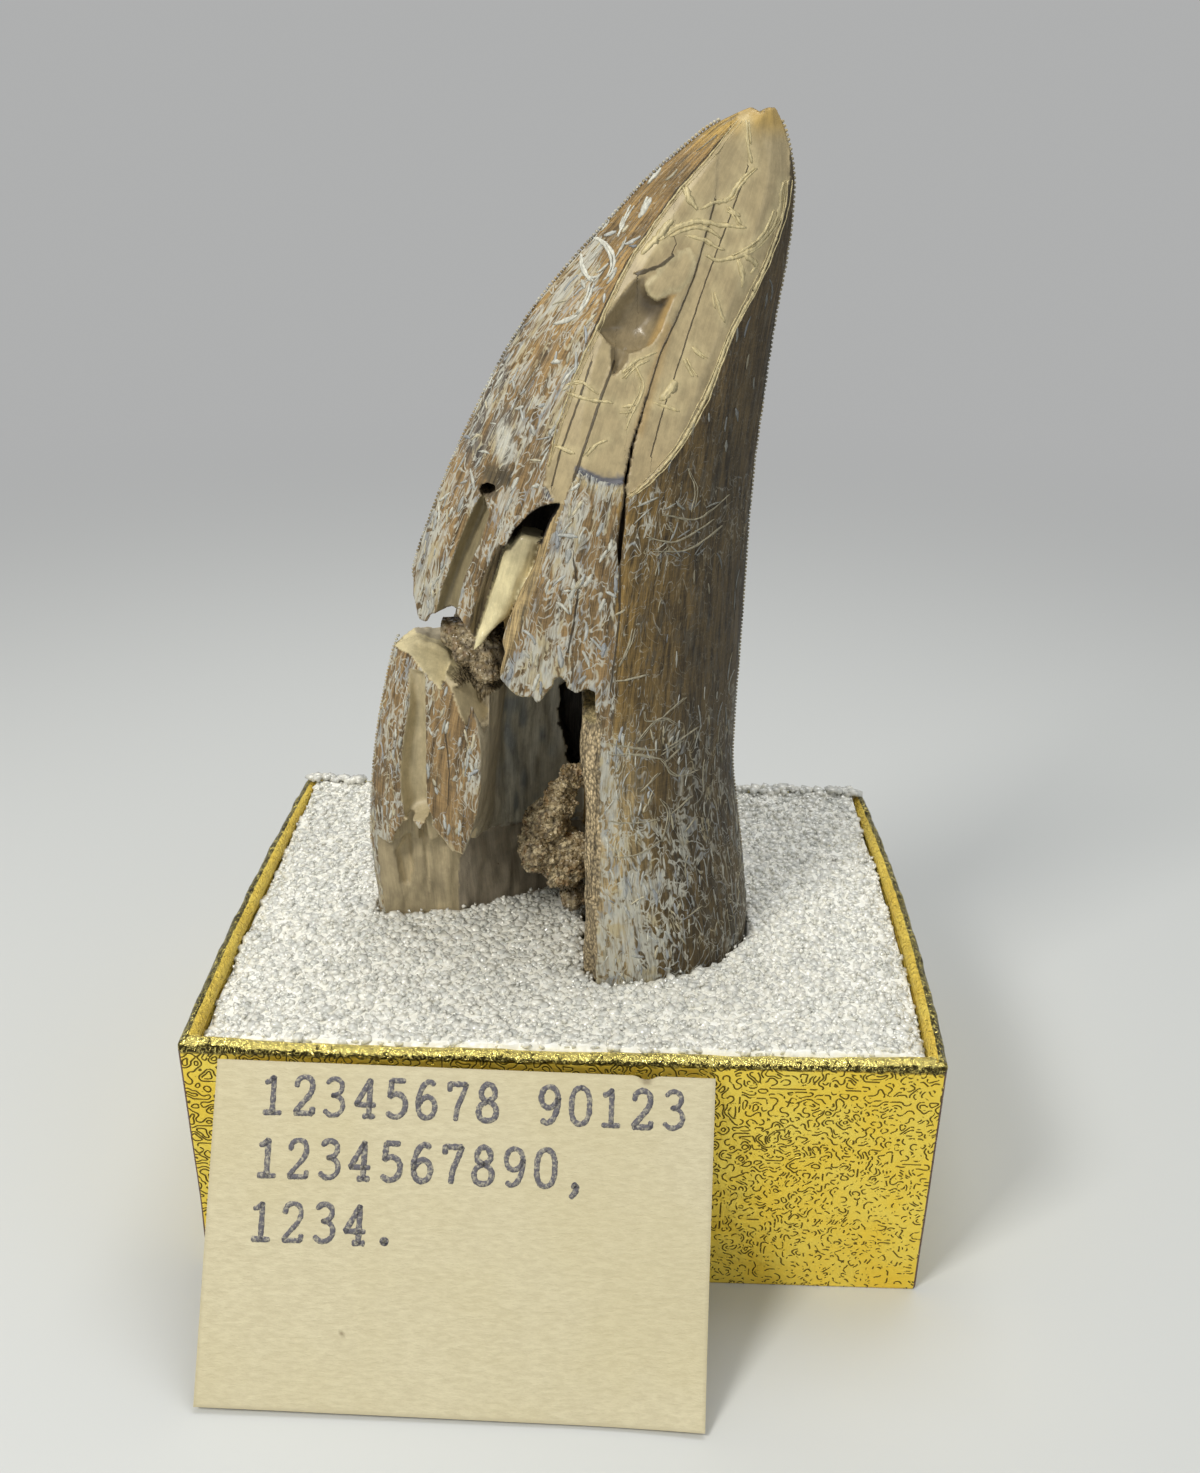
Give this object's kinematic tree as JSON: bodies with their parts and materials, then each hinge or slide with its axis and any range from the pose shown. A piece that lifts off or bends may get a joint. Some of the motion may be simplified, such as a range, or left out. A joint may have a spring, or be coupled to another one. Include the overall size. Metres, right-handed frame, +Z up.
{
  "type": "fossil tooth",
  "caption": "Curved broken dinosaur tooth standing in a gold foil gift box of clear crystal granules, with a small paper card leaning on the box.",
  "frame": {"origin": "middle of the box's underside", "axes": "+X to the right and +Y away from the front of the box, +Z up along the tooth"},
  "size_m": [0.0545, 0.0543, 0.0804],
  "materials": {
    "gold_foil": "board covered in embossed, shiny gold foil",
    "clear_granules": "clear to white crystal grains, about a millimetre across, glassy",
    "fossil_enamel": "brown fossil enamel and tan dentine, satin, with pale blue etched root marks",
    "matrix_rock": "brown crystalline rock, rough with glossy crystal faces",
    "cream_card": "matte cream card with a fibrous grain and grey typewriter figures"
  },
  "bodies": {
    "root": {"foil_box": "gold_foil", "granule_bed": "clear_granules", "tooth": "fossil_enamel", "matrix_lump": "matrix_rock", "matrix_neck": "matrix_rock", "label_card": "cream_card"}
  },
  "joints": []
}
